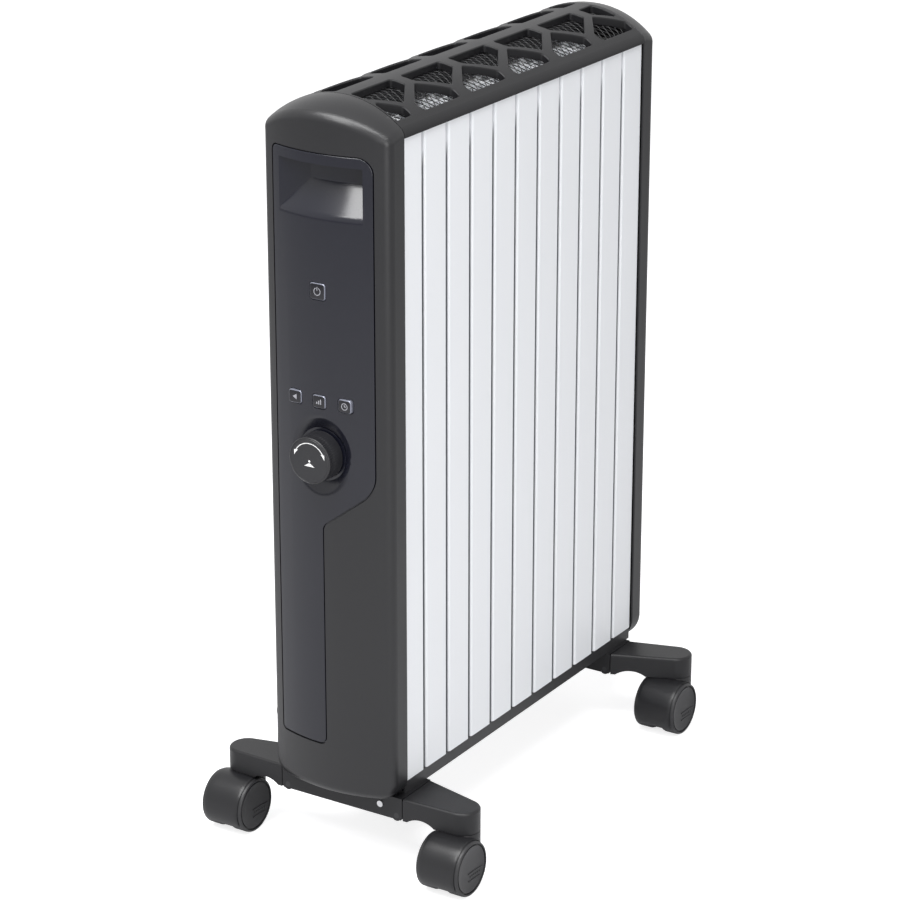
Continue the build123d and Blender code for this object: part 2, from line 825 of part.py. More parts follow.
# Wiring harness: two insulated bundles from the power board along the open base to the last module
def make_wiring_harness():
    level = (foot_top + rail_top) / 2
    y0 = front_seam + wire_setback
    bundles = []
    for side in (-1, 1):
        x = side * wire_spread
        board_back = power_face + board_thickness
        path = FilletPolyline((x, board_back, wire_top), (x, y0, wire_top), (x, y0, level),
                              (x, module_y(module_count - 1), level), radius=wire_bend_radius)
        start = Plane(origin=(x, board_back, wire_top), z_dir=(0, 1, 0))
        bundles.append(sweep(start * Circle(wire_radius), path=path))
    return group(bundles)


# Feet are drawn on the right and mirrored; toward_end is -1 at the front and +1 at the rear
def foot_stations(toward_end):
    seam = front_seam if toward_end < 0 else rear_seam
    lead = front_foot_lead if toward_end < 0 else rear_foot_lead
    depth = front_foot_depth if toward_end < 0 else rear_foot_depth
    outer = seam + toward_end * lead
    return outer, outer - toward_end * depth, seam - toward_end * stem_setback


def lug_spans(toward_end):
    outer, inner, stem_y = foot_stations(toward_end)
    low, high = sorted((outer, inner))
    return [(low, low + lug_length), (high - lug_length, high)]


def make_foot_bar(toward_end):
    outer, inner, stem_y = foot_stations(toward_end)
    bar = slab(-foot_split, foot_split, outer, inner, foot_bottom, foot_top)
    pocket_x = foot_split - foot_pocket_inset
    bar -= slab(-pocket_x, pocket_x, outer - toward_end * foot_wall, inner + toward_end * foot_wall,
                foot_bottom - over, foot_top - foot_wall)
    low, high = lug_spans(toward_end)
    for side in (-1, 1):
        notch_in = side * (pivot_x - notch_reach)
        bar -= slab(notch_in, side * (foot_split + over), low[1], high[0], foot_bottom - over,
                    pivot_z + knuckle_radius + notch_clearance)
        corner = slab(side * pivot_x, side * (foot_split + over), outer, inner, foot_bottom - over, pivot_z)
        bar -= corner - rod_y(pivot_inset, -far, far, side * pivot_x, pivot_z)
        for y0, y1 in (low, high):
            bar += rod_y(lug_radius, y0, y1, side * pivot_x, pivot_z)
            bar -= rod_y(pivot_radius, y0 - over, y1 + over, side * pivot_x, pivot_z)
    drill = rod_y(screw_radius, outer + toward_end, outer - toward_end * foot_wall * 2, foot_screw_x,
                  foot_top - foot_screw_drop)
    return bar - drill


def make_foot_screws():
    screws = []
    for toward_end in (-1, 1):
        outer, inner, stem_y = foot_stations(toward_end)
        x, z = foot_screw_x, foot_top - foot_screw_drop
        head = rod_y(foot_screw_head_radius, outer + toward_end * screw_head_height / 2, outer, x, z)
        screws.append(head + rod_y(screw_radius, outer, outer - toward_end * foot_wall, x, z))
    return group(screws)


def make_arm_pivot_pins():
    pins = []
    for toward_end in (-1, 1):
        low, high = lug_spans(toward_end)
        pins += [rod_y(pivot_radius, low[0], high[1], side * pivot_x, pivot_z) for side in (-1, 1)]
    return group(pins)


# Folding arm: a tapered tongue with a knuckle on the pivot and a blind bore for the caster stem
def make_arm(toward_end):
    outer, inner, stem_y = foot_stations(toward_end)
    root = foot_split + split_gap

    def tangent_point(y, turn):
        # Where the line from the root corner at this y meets the round tip
        reach = sqrt((stem_offset - root)**2 + (y - stem_y)**2)
        angle = atan2(y - stem_y, root - stem_offset) + turn * acos(tip_radius / reach)
        return stem_offset + tip_radius * cos(angle), stem_y + tip_radius * sin(angle)

    plan = make_face(Polyline(
        (root, outer), tangent_point(outer, -toward_end), (stem_offset, stem_y),
        tangent_point(inner, toward_end), (root, inner), (root, outer)))
    plan += Pos(stem_offset, stem_y) * Circle(tip_radius)
    arm = Pos(0, 0, foot_bottom) * extrude(plan, amount=foot_thickness)
    top_rim = [e for e in arm.faces().sort_by(Axis.Z)[-1].edges() if e.center().X > root + 1]
    arm = fillet(top_rim, arm_edge_radius)
    arch_radius = ((arch_length / 2)**2 + arch_rise**2) / (2 * arch_rise)
    arm -= rod_y(arch_radius, -far / 2, far / 2, foot_split + arch_inset + arch_length / 2,
                 foot_bottom + arch_rise - arch_radius)
    low, high = lug_spans(toward_end)
    y0, y1 = low[1] + lug_gap, high[0] - lug_gap
    arm += slab(pivot_x, root + over, y0, y1, foot_bottom, pivot_z + knuckle_radius)
    arm += rod_y(knuckle_radius, y0, y1, pivot_x, pivot_z)
    arm -= rod_y(pivot_radius + running_clearance, y0 - over, y1 + over, pivot_x, pivot_z)
    bore = stem_radius + running_clearance
    return arm - rod_z(bore, foot_bottom - over, foot_bottom + stem_bite_arm + neck_gap, stem_offset, stem_y)


# Twin-wheel caster about its stem at the origin: hood with a web, stem, and wheels on their axle
def make_caster_hood():
    pocket_radius = wheel_radius + hood_clearance
    hood = rod_x(hood_radius, -hood_half_width, hood_half_width, -wheel_trail, wheel_radius)
    hood = fillet(hood.edges().filter_by(GeomType.CIRCLE), hood_edge_radius)
    neck_top = foot_bottom - neck_gap
    hood += rod_z(tip_radius, wheel_radius, neck_top, 0, 0)
    for side in (-1, 1):
        hood -= rod_x(pocket_radius, side * web_half_width, side * far / 2, -wheel_trail, wheel_radius)
    hood -= slab(-far, far, -far, far, -far, hood_lip_height)
    hood -= slab(-far, far, -wheel_trail + 2 * axle_radius, far, -far, wheel_radius)
    hood -= rod_x(axle_radius + running_clearance, -far / 2, far / 2, -wheel_trail, wheel_radius)
    return hood - rod_z(stem_radius, neck_top - stem_bite_hood, neck_top + over, 0, 0)


def make_caster_stem():
    return rod_z(stem_radius, foot_bottom - neck_gap - stem_bite_hood, foot_bottom + stem_bite_arm, 0, 0)


def make_caster_wheels():
    inner = web_half_width + wheel_side_gap
    outer = inner + wheel_width
    dish = outer - wheel_dish_depth
    profile = make_face(Polyline(
        (inner, axle_radius), (inner, wheel_radius), (outer, wheel_radius), (outer, wheel_dish_radius),
        (dish, wheel_dish_radius - wheel_dish_depth), (dish, axle_radius), (inner, axle_radius)))
    profile = rounded(profile, [
        (inner, wheel_radius, wheel_edge_radius), (outer, wheel_radius, wheel_edge_radius)])
    wheel = revolve(profile, axis=Axis.X)
    axle = rod_x(axle_radius, -dish, dish, 0, 0)
    centre = Pos(0, -wheel_trail, wheel_radius)
    return group([centre * wheel, centre * mirror(wheel, about=Plane.YZ), centre * axle])


# Screws for the boards, the front housing and the rear housing
def make_housing_screws():
    screws = []
    for x, z in post_places:
        seat = board_face + board_thickness
        head = rod_y(screw_head_radius, seat, seat + screw_head_height, x, z)
        screws.append(head + rod_y(screw_radius, board_face - screw_length / 2, seat, x, z))
    for x, z in boss_places:
        seat = bulkhead + plate_wall
        head = rod_y(screw_head_radius, seat, seat + screw_head_height / 2, x, z)
        screws.append(head + rod_y(screw_radius, bulkhead - screw_length, seat, x, z))
    for x, z in rear_screw_places:
        head = rod_y(screw_head_radius, rear_head_seat, rear_head_seat + screw_head_height, x, z)
        screws.append(head + rod_y(screw_radius, plate_front, rear_head_seat, x, z))
    return group(screws)


nodes["front_housing"] = make_front_housing()
nodes["front_panel"] = make_front_panel()
for key in keys:
    nodes[key[0]] = make_key(key)
nodes["encoder_body"] = make_encoder_body()
nodes["encoder_sleeve"] = make_encoder_sleeve()
nodes["encoder_shaft"] = make_encoder_shaft()
nodes["control_knob"] = make_control_knob()
nodes["control_board"] = make_control_board()
nodes["display_module"] = make_display_module()
nodes["button_switches"] = make_button_switches()
nodes["power_board"] = make_power_board()
nodes["room_sensor"] = make_room_sensor()
nodes["tip_over_switch"] = make_tip_over_switch()
nodes["cord_gland"] = make_cord_gland()
nodes["front_end_plate"] = pierced_plate(bulkhead, boss_places, screw_radius + screw_hole_clearance)
nodes["rear_end_plate"] = pierced_plate(plate_front, rear_screw_places, screw_radius)
nodes["rear_housing"] = make_rear_housing()
nodes["front_trim_slats"] = make_front_trim_slats()
heating_module = make_heating_module()
for index in range(module_count):
    nodes[f"heating_module_{index + 1:02d}"] = Pos(0, module_y(index), rail_top) * heating_module
nodes["heating_elements"] = make_heating_elements()
nodes["thermal_cutouts"] = make_thermal_cutouts()
nodes["tie_rods"] = make_tie_rods()
nodes["tie_rod_nuts"] = make_tie_rod_nuts()
nodes["top_grille"] = make_top_grille()
nodes["top_mesh"] = make_top_mesh()
nodes["base_rails"] = make_base_rails()
nodes["wiring_harness"] = make_wiring_harness()
nodes["arm_pivot_pins"] = make_arm_pivot_pins()
nodes["housing_screws"] = make_housing_screws()
nodes["foot_screws"] = make_foot_screws()
caster = {"hood": make_caster_hood(), "stem": make_caster_stem(), "wheels": make_caster_wheels()}
for end, toward_end in (("front", -1), ("rear", 1)):
    nodes[f"{end}_foot_bar"] = make_foot_bar(toward_end)
    right_arm = make_arm(toward_end)
    stem_y = foot_stations(toward_end)[2]
    for hand, side in (("left", -1), ("right", 1)):
        arm = right_arm if side > 0 else mirror(right_arm, about=Plane.YZ)
        nodes[f"foot_arm_{end}_{hand}"] = arm
        for piece, shape in caster.items():
            nodes[f"caster_{piece}_{end}_{hand}"] = Pos(side * stem_offset, stem_y, 0) * shape

os.makedirs("parts", exist_ok=True)
for name, shape in nodes.items():
    export_step(shape, f"parts/{name}.step")
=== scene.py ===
from math import asin, cos, pi, radians, sin, sqrt

import bpy
import numpy as np
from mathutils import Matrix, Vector


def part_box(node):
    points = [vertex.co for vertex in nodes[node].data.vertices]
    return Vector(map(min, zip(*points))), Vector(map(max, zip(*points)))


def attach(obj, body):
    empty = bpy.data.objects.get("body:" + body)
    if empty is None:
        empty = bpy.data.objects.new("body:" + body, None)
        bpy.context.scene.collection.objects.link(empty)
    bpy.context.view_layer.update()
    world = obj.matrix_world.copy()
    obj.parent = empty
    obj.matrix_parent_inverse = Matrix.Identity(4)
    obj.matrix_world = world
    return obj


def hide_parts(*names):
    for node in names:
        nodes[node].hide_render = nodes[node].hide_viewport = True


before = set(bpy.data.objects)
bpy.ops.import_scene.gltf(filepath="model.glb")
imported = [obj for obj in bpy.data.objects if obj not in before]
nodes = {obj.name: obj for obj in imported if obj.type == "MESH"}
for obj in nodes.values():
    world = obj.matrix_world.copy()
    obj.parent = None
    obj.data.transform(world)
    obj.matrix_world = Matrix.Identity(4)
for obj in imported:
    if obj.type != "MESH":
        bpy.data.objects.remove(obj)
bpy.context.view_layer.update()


# Studio: a white room and a pale painted floor that looks white and still takes the soft shadow.
# A wide lamp hangs over the front, a small one faces the hand grip and a low one stands at the right.
# The camera looks from the right of the controls and a little above, as in the photograph.
class Wire:
    # An output of a shader node: arithmetic on it adds Math nodes
    def __init__(self, nodework, socket):
        self.nodework = nodework
        self.socket = socket

    def math(self, operation, *values, clamp=False):
        settings = {"operation": operation, "use_clamp": clamp}
        return self.nodework.add("ShaderNodeMath", settings, dict(enumerate(values)))

    def __add__(self, other):
        return self.math("ADD", self, other)

    __radd__ = __add__

    def __sub__(self, other):
        return self.math("SUBTRACT", self, other)

    def __rsub__(self, other):
        return self.math("SUBTRACT", other, self)

    def __mul__(self, other):
        return self.math("MULTIPLY", self, other)

    __rmul__ = __mul__

    def __pow__(self, other):
        return self.math("POWER", self, other)

    def __abs__(self):
        return self.math("ABSOLUTE", self)

    def __or__(self, other):
        return self.math("MAXIMUM", self, other)

    def __and__(self, other):
        return self.math("MINIMUM", self, other)

    def below(self, limit, soft):
        # 1 where this is under the limit and 0 where it is over, across a soft edge
        return self.math("MULTIPLY_ADD", limit - self, 1 / soft, 0.5, clamp=True)

    def above(self, limit, soft):
        return 1 - self.below(limit, soft)


class NodeWork:
    # The nodes of a material or of the room's light
    def __init__(self, tree):
        self.tree = tree

    def feed(self, node, sockets):
        for key, value in sockets.items():
            if isinstance(value, Wire):
                self.tree.links.new(value.socket, node.inputs[key])
            else:
                node.inputs[key].default_value = value

    def add(self, kind, settings, sockets, output=0):
        node = self.tree.nodes.new(kind)
        for key, value in settings.items():
            setattr(node, key, value)
        self.feed(node, sockets)
        return Wire(self, node.outputs[output])

    def seen_by(self, *kinds):
        # 1 for rays of these kinds, 0 for light on its way to a surface
        share = 0.0
        for kind in kinds:
            share = self.add("ShaderNodeLightPath", {}, {}, f"Is {kind} Ray") | share
        return share


class Finish(NodeWork):
    # A surface finish: one material, its Principled shader and the nodes that feed it
    def __init__(self, name, **sockets):
        self.material = bpy.data.materials.new(name)
        self.material.use_nodes = True
        super().__init__(self.material.node_tree)
        self.shader = self.tree.nodes["Principled BSDF"]
        self.use(**sockets)

    def use(self, **sockets):
        self.feed(self.shader, {key.replace("_", " "): value for key, value in sockets.items()})

    def colour(self):
        # What feeds the base colour so far
        return Wire(self, self.shader.inputs["Base Color"].links[0].from_socket)

    def place(self):
        return self.add("ShaderNodeTexCoord", {}, {}, "Object")

    def axes(self):
        place = self.place()
        return [self.add("ShaderNodeSeparateXYZ", {}, {0: place}, axis) for axis in "XYZ"]

    def noise(self, size, detail):
        # Cloudy noise from 0 to 1 whose features are about this many metres across
        sockets = {"Vector": self.place(), "Scale": 1 / size, "Detail": detail}
        return self.add("ShaderNodeTexNoise", {}, sockets, "Fac")

    def blend(self, share, first, second):
        settings = {"data_type": "RGBA"}
        return self.add("ShaderNodeMix", settings, {0: share, 6: first, 7: second}, 2)

    def bump(self, height, depth):
        return self.add("ShaderNodeBump", {}, {"Height": height, "Distance": depth, "Strength": 1.0})

    def paint(self, *objects):
        for thing in objects:
            thing.data.materials.clear()
            thing.data.materials.append(self.material)


def rgb(*levels):
    # A screen colour in 0 to 255 as the linear colour that a shader takes
    linear = [(v / 255 / 12.92) if v <= 10 else ((v / 255 + 0.055) / 1.055) ** 2.4 for v in levels]
    return (*linear, 1.0)


def mesh_object(name, vertices, faces, smooth_below=35.0):
    mesh = bpy.data.meshes.new(name)
    mesh.from_pydata([tuple(v) for v in vertices], [], faces)
    mesh.validate()
    thing = bpy.data.objects.new(name, mesh)
    bpy.context.scene.collection.objects.link(thing)
    mesh.shade_smooth()
    mesh.set_sharp_from_angle(angle=radians(smooth_below))
    return thing


white = rgb(255, 255, 255)
room_light = 0.42
world = bpy.data.worlds.new("white_room")
world.use_nodes = True
bpy.context.scene.world = world
room = NodeWork(world.node_tree)
room.feed(room.tree.nodes["Background"], {
    "Color": white,
    "Strength": room_light + (1 - room_light) * room.seen_by("Camera", "Glossy", "Transmission")})

floor_half = 12.0
floor_glow = 0.76
floor_mirror_glow = 0.12
floor_corners = [(-floor_half, -floor_half, 0), (floor_half, -floor_half, 0),
                 (floor_half, floor_half, 0), (-floor_half, floor_half, 0)]
floor = mesh_object("studio_floor", floor_corners, [(0, 1, 2, 3)])
floor_paint = Finish("studio_floor_paint", Base_Color=rgb(214, 214, 216), Roughness=0.9)
floor_paint.use(
    Specular_IOR_Level=0.0,
    Emission_Strength=1.0,
    Emission_Color=floor_glow * floor_paint.seen_by("Camera")
    + floor_mirror_glow * floor_paint.seen_by("Glossy", "Transmission"))
floor_paint.paint(floor)


heater_middle = Vector((0.0, 0.0, 0.33))


def soft_lamp(name, place, size, watts):
    lamp = bpy.data.lights.new(name, "AREA")
    lamp.shape = "RECTANGLE"
    lamp.size, lamp.size_y = size
    lamp.energy = watts
    holder = bpy.data.objects.new(name, lamp)
    bpy.context.scene.collection.objects.link(holder)
    holder.location = place
    holder.rotation_euler = (heater_middle - Vector(place)).to_track_quat("-Z", "Y").to_euler()


soft_lamp("overhead_lamp", (0.1, -0.85, 2.35), (2.3, 0.8), 58.0)
soft_lamp("grip_lamp", (-0.2, -1.75, 2.1), (0.7, 0.7), 20.0)
soft_lamp("side_lamp", (1.4, -1.25, 0.8), (0.9, 1.1), 11.0)

bpy.context.scene.view_settings.view_transform = "Standard"

camera_azimuth = radians(32.3)
camera_elevation = radians(20.4)
camera_distance = 2.7452
camera_aim = Vector((0.0, -0.01695, 0.3158))
camera_back = Vector((
    sin(camera_azimuth) * cos(camera_elevation),
    -cos(camera_azimuth) * cos(camera_elevation),
    sin(camera_elevation)))
lens = bpy.data.cameras.new("photo_camera")
lens.sensor_width = 36.0
lens.lens = 127.39
camera = bpy.data.objects.new("photo_camera", lens)
bpy.context.scene.collection.objects.link(camera)
camera.location = camera_aim + camera_distance * camera_back
camera.rotation_euler = (-camera_back).to_track_quat("-Z", "Y").to_euler()
bpy.context.scene.camera = camera


# Feet: two moulded bars under the ends and four arms that fold on steel pins.
# Glass-filled charcoal plastic with a fine satin spark finish; bright screws hold the bars.
def shaded(colour, share):
    return tuple(level * share for level in colour[:3]) + (1.0,)


def moulded(name, colour, roughness, sheen=0.5, grain=0.00045, depth=0.00003, mottle=0.12):
    # Satin moulded plastic: a fine sparked grain, and cloudy changes of shade and sheen
    finish = Finish(name, IOR=1.48, Specular_IOR_Level=sheen)
    clouds = finish.noise(size=0.06, detail=3.0)
    speckle = finish.noise(size=grain, detail=1.0)
    finish.use(
        Base_Color=finish.blend(
            0.5 * clouds + 0.5 * speckle, shaded(colour, 1 - mottle), shaded(colour, 1 + mottle)),
        Roughness=roughness + 0.10 * (clouds - 0.5) + 0.06 * (speckle - 0.5),
        Normal=finish.bump(speckle, depth))
    return finish


def plated(name, colour, roughness):
    # Plated steel with fine drawn lines
    finish = Finish(name, Metallic=1.0)
    streaks = finish.noise(size=0.0006, detail=4.0)
    finish.use(
        Base_Color=finish.blend(streaks, shaded(colour, 0.7), colour),
        Roughness=roughness + 0.15 * (streaks - 0.5),
        Normal=finish.bump(streaks, 0.00001))
    return finish


feet = [name for name in nodes if name.startswith("foot_arm_") or name.endswith("_foot_bar")]
moulded("foot_charcoal", rgb(28, 28, 30), 0.42, 0.36).paint(*[nodes[name] for name in feet])
bright_steel = plated("bright_steel", rgb(214, 214, 216), 0.28)
bright_steel.paint(nodes["foot_screws"])


# Caster hoods: a barrel-shaped nylon fender over each pair of wheels, with a web between the wheels.
# Fender, web and turning neck are one moulding; the steel stem is pressed into the neck.
def lathe(profile, steps, place_of):
    # Turns (radius, height) points about an axis; place_of(angle, radius, height) gives the place
    return stacked([[place_of(2 * pi * k / steps, r, h) for k in range(steps)] for r, h in profile])


def stacked(rings):
    # Skin between rings of equal point counts, with a flat cap at each end
    count = len(rings[0])
    vertices = [point for ring in rings for point in ring]
    faces = []
    for level in range(len(rings) - 1):
        low, high = level * count, (level + 1) * count
        for k in range(count):
            after = (k + 1) % count
            faces.append((low + k, low + after, high + after, high + k))
    faces.append(tuple(reversed(range(count))))
    faces.append(tuple(range((len(rings) - 1) * count, len(rings) * count)))
    return vertices, faces


def joined(name, skins):
    vertices, faces = [], []
    for points, polygons in skins:
        shift = len(vertices)
        vertices += points
        faces += [tuple(i + shift for i in polygon) for polygon in polygons]
    return outward(mesh_object(name, vertices, faces))


def outward(thing):
    # Turns every face outwards
    bpy.context.view_layer.objects.active = thing
    thing.select_set(True)
    bpy.ops.object.mode_set(mode="EDIT")
    bpy.ops.mesh.select_all(action="SELECT")
    bpy.ops.mesh.normals_make_consistent(inside=False)
    bpy.ops.object.mode_set(mode="OBJECT")
    thing.select_set(False)
    return thing


mm = 0.001
caster_corners = [f"{end}_{hand}" for end in ("front", "rear") for hand in ("left", "right")]
caster_charcoal = moulded("caster_charcoal", rgb(29, 29, 31), 0.34, 0.4)
fender_start = radians(-4)
fender_span = radians(216)
fender_steps = 72
fender_slices = 28
tread_gap = 0.7 * mm
lip_inset = 0.8 * mm
lip_wall = 0.02 * mm
crown_squareness = 3.2
crown_fullness = 2.2
web_half = 4.6 * mm
web_steps = 40
web_overlap = 0.5 * mm
web_foot_half = 5.0 * mm
web_foot_drop = 7.0 * mm
neck_radius = 15.5 * mm
neck_rise = 8.0 * mm
neck_steps = 64
neck_edge = [(0.0, 1.0), (0.3, 0.4), (0.9, 0.0)]


def caster_hood(corner):
    hood_low, hood_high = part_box(f"caster_hood_{corner}")
    wheel_low, wheel_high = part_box(f"caster_wheels_{corner}")
    stem_low, stem_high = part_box(f"caster_stem_{corner}")
    axle = (wheel_low + wheel_high) / 2
    stem = (stem_low + stem_high) / 2
    half_width = (hood_high.x - hood_low.x) / 2
    inner_radius = (wheel_high.z - wheel_low.z) / 2 + tread_gap
    crown_rise = axle.y - hood_low.y - inner_radius

    def fender_ring(angle):
        # One slice of the fender: over the crowned outside and back along the plain inside
        across = [-1 + 2 * k / fender_slices for k in range(fender_slices + 1)]
        outside = [(u * half_width,
                    inner_radius + crown_rise * (1 - abs(u) ** crown_squareness) ** (1 / crown_fullness))
                   for u in across]
        inside = [(-u * (half_width - lip_inset), inner_radius - lip_wall) for u in across]
        return [(axle.x + x, axle.y + r * cos(angle), axle.z + r * sin(angle)) for x, r in outside + inside]

    shell = stacked([fender_ring(fender_start + fender_span * k / fender_steps)
                     for k in range(fender_steps + 1)])

    web_radius = inner_radius + web_overlap
    web_angles = [fender_start + fender_span * k / web_steps for k in range(web_steps + 1)]
    web_outline = [(axle.y + web_radius * cos(a), axle.z + web_radius * sin(a)) for a in web_angles]
    web_outline += [(axle.y + side * web_foot_half, axle.z - web_foot_drop) for side in (-1, 1)]
    web = stacked([[(axle.x + side * web_half, y, z) for y, z in web_outline] for side in (-1, 1)])

    neck_profile = [(neck_radius, axle.z + neck_rise)]
    neck_profile += [(neck_radius - inset * mm, hood_high.z - drop * mm) for inset, drop in neck_edge]
    neck = lathe(neck_profile, neck_steps, lambda a, r, h: (stem.x + r * cos(a), stem.y + r * sin(a), h))
    return joined(f"caster_fender_{corner}", [shell, web, neck])


for corner in caster_corners:
    hood = caster_hood(corner)
    caster_charcoal.paint(hood)
    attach(hood, f"caster_{corner}")
    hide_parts(f"caster_hood_{corner}")
    bright_steel.paint(nodes[f"caster_stem_{corner}"])


# Caster wheels: two grey nylon discs on one axle, moulded with a dished face and a ring groove.
# Two ribs and a row of studs stand on the dish below the hub.
wheel_grey = moulded("wheel_grey", rgb(34, 34, 36), 0.46)
wheel_steps = 96
wheel_inner = 5.6 * mm
# Radius, and how far it is set back from the outer side, in millimetres
dish_outline = [(3.0, 2.3), (8.0, 2.2), (13.0, 1.9), (17.0, 1.35), (19.2, 0.75), (20.2, 0.4)]
groove_outline = [(20.6, 0.6), (20.8, 1.8), (21.6, 1.8), (21.8, 0.35)]
rim_outline = [(22.3, 0.0), (22.9, 0.1), (23.5, 0.55), (23.85, 1.3)]
tread_edge = 2.4 * mm
back_edge = [(0.5, 0.9), (1.8, 0.0)]
hub_hole = 3.2 * mm
axle_radius = 3.0 * mm
axle_steps = 24
# How far each rib is below the hub and how far it reaches, and the rib's own outline
rib_places = [(4.4, 18.0), (11.2, 14.5)]
rib_start = -2.0 * mm
rib_steps = 15
rib_outline = [(-0.6, -0.2), (-0.4, 0.55), (0.0, 0.75), (0.4, 0.55), (0.6, -0.2)]
stud_count = 6
stud_first = 1.0 * mm
stud_pitch = 2.7 * mm
stud_drop = 7.8 * mm
stud_steps = 12
stud_outline = [(0.95, -0.3), (0.85, 0.4), (0.45, 0.65)]


def twin_wheels(corner):
    low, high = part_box(f"caster_wheels_{corner}")
    axle = (low + high) / 2
    wheel_radius = (high.z - low.z) / 2
    outer = (high.x - low.x) / 2
    face = [(r * mm, outer - back * mm) for r, back in dish_outline]
    disc = face + [(r * mm, outer - back * mm) for r, back in groove_outline + rim_outline]
    disc += [(wheel_radius, outer - tread_edge), (wheel_radius, wheel_inner + tread_edge)]
    disc += [(wheel_radius - inset * mm, wheel_inner + out * mm) for inset, out in back_edge]
    disc += [(hub_hole, wheel_inner)]
    face_radii, face_heights = zip(*face)

    def one_wheel(side):
        def on_axle(angle, radius, height):
            return (axle.x + side * height, axle.y + radius * cos(angle), axle.z + radius * sin(angle))

        def on_dish(along, drop, lift):
            # A place on the dished face, this far along and below the hub
            height = np.interp(sqrt(along**2 + drop**2), face_radii, face_heights) + lift
            return (axle.x + side * height, axle.y + along, axle.z - drop)

        def stud(along):
            return lathe([(r * mm, h * mm) for r, h in stud_outline], stud_steps,
                         lambda a, r, h: on_dish(along + r * cos(a), stud_drop + r * sin(a), h))

        skins = [lathe(disc, wheel_steps, on_axle)]
        for drop, reach in rib_places:
            skins.append(stacked([
                [on_dish(along, (drop + wide) * mm, lift * mm) for wide, lift in rib_outline]
                for along in np.linspace(rib_start, reach * mm, rib_steps)]))
        return skins + [stud(stud_first + stud_pitch * k) for k in range(stud_count)]

    axle_rod = lathe([(axle_radius, -wheel_inner), (axle_radius, wheel_inner)], axle_steps,
                     lambda a, r, h: (axle.x + h, axle.y + r * cos(a), axle.z + r * sin(a)))
    return joined(f"twin_wheels_{corner}", one_wheel(-1) + one_wheel(1) + [axle_rod])


for corner in caster_corners:
    wheels = twin_wheels(corner)
    wheel_grey.paint(wheels)
    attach(wheels, f"wheels_{corner}")
    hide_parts(f"caster_wheels_{corner}")


# Base rails: rolled steel tubes along both sides that carry the modules, and the arms' pivot pins.
# Black powder coat, sprayed and baked. The modules stand on the rails, between the two end plates.
def powder_coat(name, colour, roughness, peel=0.0012, depth=0.00002):
    # Sprayed and baked paint: a faint orange peel
    finish = Finish(name, IOR=1.5)
    ripple = finish.noise(size=peel, detail=2.0)
    clouds = finish.noise(size=0.12, detail=2.0)
    finish.use(
        Base_Color=finish.blend(clouds, shaded(colour, 0.965), colour),
        Roughness=roughness + 0.08 * (clouds - 0.5) + 0.05 * (ripple - 0.5),
        Normal=finish.bump(ripple, depth))
    return finish


black_powder_coat = powder_coat("black_powder_coat", rgb(34, 34, 36), 0.45)
black_powder_coat.paint(nodes["base_rails"], nodes["arm_pivot_pins"])


# Heating modules: ten aluminium extrusions, and a narrower pair of trim slats at the front.
# White powder coat with painted shade: grey deep in the gaps between them and inside, white again near the
# top; the flat sides are the heater's walls.
module_names = [name for name in nodes if name.startswith("heating_module_")]
slat_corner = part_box("heating_module_01")[1]
gap_shade_depth = 1.8 * mm
gap_shade_soft = 1.2 * mm
unshaded_top = 24.0 * mm
unshaded_top_soft = 16.0 * mm
white_coat = powder_coat("white_powder_coat", rgb(233, 235, 238), 0.34)
x, y, z = white_coat.axes()
# Painted shade: the gaps and insides are grey below the top, where less light reaches; the top stays white.
painted_gap_shade = abs(x).below(slat_corner.x - gap_shade_depth, gap_shade_soft) & z.below(slat_corner.z - unshaded_top, unshaded_top_soft)
white_coat.use(Base_Color=white_coat.blend(painted_gap_shade, white_coat.colour(), rgb(104, 107, 112)))
white_coat.paint(nodes["front_trim_slats"], *[nodes[name] for name in module_names])


# Inside: foil-faced elements in the cores, end plates, tie rods and nuts, cut-outs, boards and leads.
# Zinc-plated pressings, plated rods and screws, and black mouldings, all out of sight in use.
plated("zinc_plate", rgb(190, 190, 188), 0.38).paint(nodes["front_end_plate"], nodes["rear_end_plate"])
bright_steel.paint(*[nodes[name] for name in (
    "tie_rods", "tie_rod_nuts", "housing_screws", "encoder_shaft")])
plated("element_foil", rgb(196, 186, 164), 0.42).paint(nodes["heating_elements"])
moulded("sleeved_lead", rgb(40, 40, 40), 0.6).paint(nodes["wiring_harness"])
moulded("moulded_black", rgb(38, 38, 40), 0.5).paint(*[nodes[name] for name in (
    "thermal_cutouts", "room_sensor", "tip_over_switch", "encoder_body", "encoder_sleeve",
    "display_module", "button_switches")])
moulded("board_mask", rgb(24, 74, 44), 0.35).paint(nodes["control_board"], nodes["power_board"])


# Guard mesh: aluminium sheet, slit and stretched into diamonds and curved to lie under the grille.
# Dark coated, in two halves beside the spine.
mesh_low, mesh_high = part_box("top_mesh")
roof_radius = 90.0 * mm
roof_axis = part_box("top_grille")[1].z - roof_radius
sheet_drop = 6.9 * mm
sheet_radius = roof_radius - sheet_drop
strand = 0.9 * mm
diamond_width = 12.0 * mm
diamond_length = 7.0 * mm
sheet_start = radians(3.0)
sheet_span = asin(mesh_high.x / sheet_radius) - sheet_start
columns = int(sheet_span * sheet_radius / (diamond_width / 2))
rows = int((mesh_high.y - mesh_low.y) / (diamond_length / 2))
crossings, diamonds = [], []
for side in (-1, 1):
    number = {}
    for i in range(columns + 1):
        angle = sheet_start + sheet_span * i / columns
        across, up = side * sheet_radius * sin(angle), roof_axis + sheet_radius * cos(angle)
        for j in range(i % 2, rows + 1, 2):
            along = mesh_low.y + (mesh_high.y - mesh_low.y) * j / rows
            number[i, j] = len(crossings)
            crossings.append((across, along, up))
    for i in range(1, columns):
        for j in range(1 + i % 2, rows, 2):
            around = ((i - 1, j), (i, j - 1), (i + 1, j), (i, j + 1))
            diamonds.append(tuple(number[key] for key in around))
guard = mesh_object("guard_mesh", crossings, diamonds)
strands = guard.modifiers.new("strands", "WIREFRAME")
strands.thickness = strand
strands.use_even_offset = False
strands.use_boundary = True
